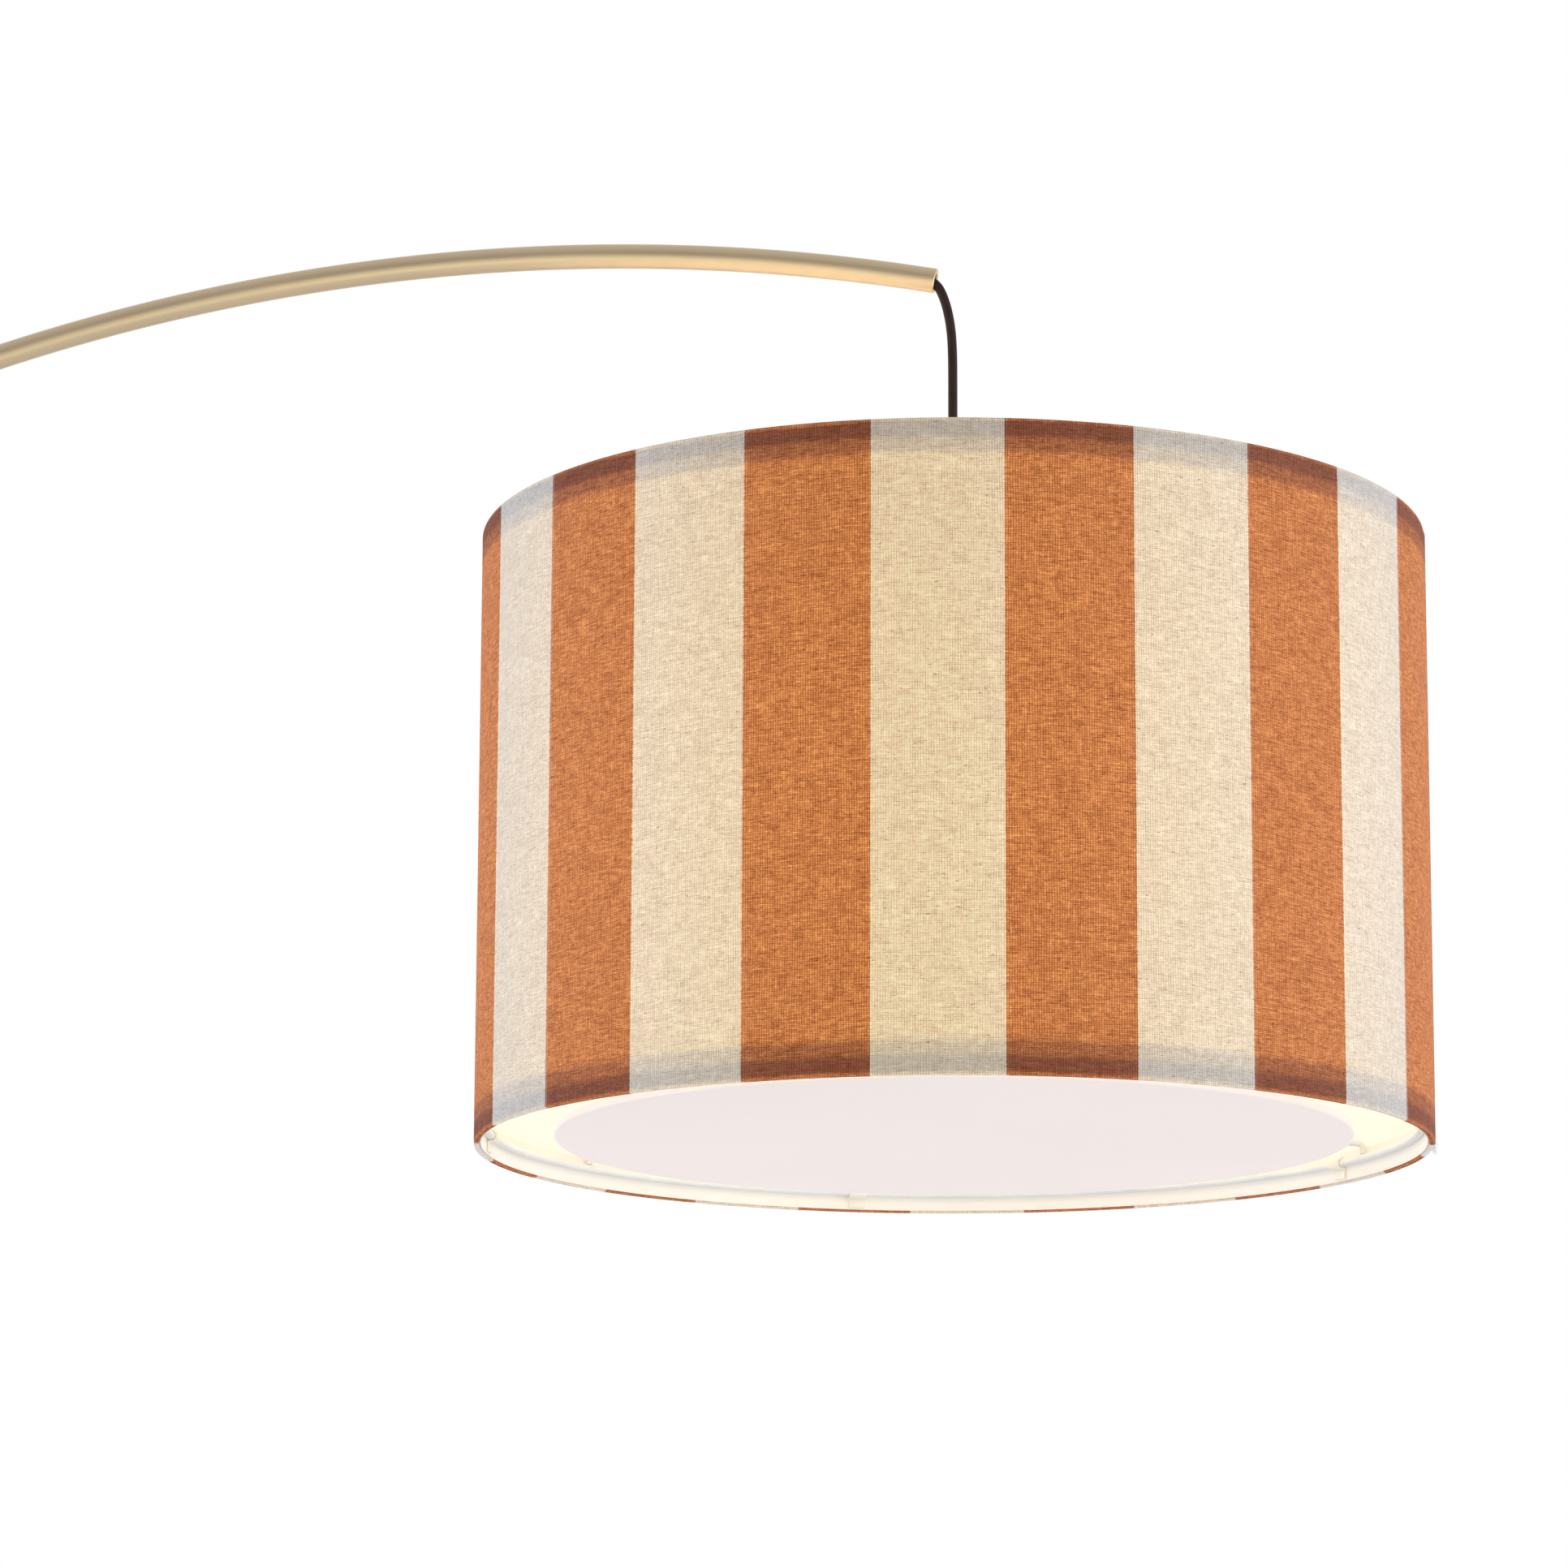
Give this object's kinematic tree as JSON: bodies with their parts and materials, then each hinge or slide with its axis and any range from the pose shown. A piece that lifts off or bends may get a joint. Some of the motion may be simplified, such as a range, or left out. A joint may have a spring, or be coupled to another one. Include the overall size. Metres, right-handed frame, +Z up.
{
  "type": "arc floor lamp",
  "caption": "Arc floor lamp with a round weighted base, slim champagne-gold arched arm and a terracotta and cream striped drum shade with an opal diffuser.",
  "frame": {"origin": "on the floor under the middle of the round base, on the pole's axis", "axes": "+Z up along the pole, +X from the pole towards the shade, +Y completes a right-handed frame"},
  "size_m": [1.6411, 0.48, 1.8998],
  "materials": {
    "pad_rubber": "ribbed matt rubber sheet",
    "weight_iron": "rough cast, painted grey-black",
    "champagne_metal": "satin champagne-gold plating, lacquered",
    "plain_steel": "zinc-plated",
    "black_plastic": "moulded, fine texture",
    "natural_nylon": "moulded, slightly translucent",
    "flex_sheath": "smooth dark sheath",
    "bush_rubber": "soft matt",
    "contact_brass": "bare stamped",
    "opal_glass": "frosted opal",
    "opal_acrylic": "satin opal sheet",
    "striped_fabric": "plain weave, terracotta and cream stripes",
    "white_lining": "smooth white lining",
    "white_wire": "white powder coat"
  },
  "bodies": {
    "base": {"base_pad": "pad_rubber", "base_weight": "weight_iron", "base_cover": "champagne_metal", "pole_spigot": "plain_steel", "base_washer": "plain_steel", "base_nut": "plain_steel", "pole_foot": "champagne_metal", "cord_gland": "black_plastic", "pole_lower": "champagne_metal", "pole_upper": "champagne_metal", "pole_coupler": "champagne_metal", "swivel_bush": "natural_nylon", "swivel_collar": "champagne_metal", "collar_screw": "plain_steel", "base_lead": "flex_sheath", "pole_lead": "flex_sheath"},
    "arm": {"arm_tube_lower": "champagne_metal", "arm_tube_middle": "champagne_metal", "arm_tube_upper": "champagne_metal", "arm_ferrule_lower": "plain_steel", "arm_ferrule_upper": "plain_steel", "cord_stop": "plain_steel", "mouth_bush": "bush_rubber", "arm_lead": "flex_sheath"},
    "flex": {"pendant_cord": "flex_sheath"},
    "lampholder": {"cord_grip": "black_plastic", "holder_cap": "black_plastic", "holder_body": "black_plastic", "screw_shell": "contact_brass", "centre_contact": "contact_brass", "holder_ring": "black_plastic", "bulb_cap": "plain_steel", "bulb_globe": "opal_glass"},
    "shade": {"shade_fabric": "striped_fabric", "shade_liner": "white_lining", "hem_tape_lower": "white_lining", "hem_tape_top": "white_lining", "spider_hub": "white_wire", "spider_spoke_1": "white_wire", "spider_spoke_2": "white_wire", "spider_spoke_3": "white_wire", "top_ring": "white_wire", "lower_ring": "white_wire", "ring_clip_1": "natural_nylon", "ring_clip_2": "natural_nylon", "ring_clip_3": "natural_nylon", "ring_clip_4": "natural_nylon", "ring_clip_5": "natural_nylon", "diffuser_bracket_1": "white_wire", "diffuser_bracket_2": "white_wire", "diffuser_bracket_3": "white_wire", "diffuser_saddle_1": "natural_nylon", "diffuser_saddle_2": "natural_nylon", "diffuser_saddle_3": "natural_nylon", "diffuser": "opal_acrylic"}
  },
  "joints": [
    {"name": "arm_swivel", "type": "hinge", "parent": "base", "child": "arm", "pos_m": [0, 0, 0.87365], "axis": [0, 0, 1], "range_deg": [-90, 90]},
    {"name": "cord_swing", "type": "hinge", "parent": "arm", "child": "flex", "pos_m": [1.22857, 0, 1.86188], "axis": [0, 1, 0], "range_deg": [-20, 20], "deforming": ["pendant_cord"]},
    {"name": "shade_tilt", "type": "hinge", "parent": "flex", "child": "lampholder", "pos_m": [1.22857, 0, 1.75818], "axis": [1, 0, 0], "range_deg": [-10, 10], "deforming": ["pendant_cord"]},
    {"name": "shade_turn", "type": "hinge", "parent": "lampholder", "child": "shade", "pos_m": [1.22857, 0, 1.70918], "axis": [0, 0, 1], "range_deg": [-180, 180]}
  ]
}
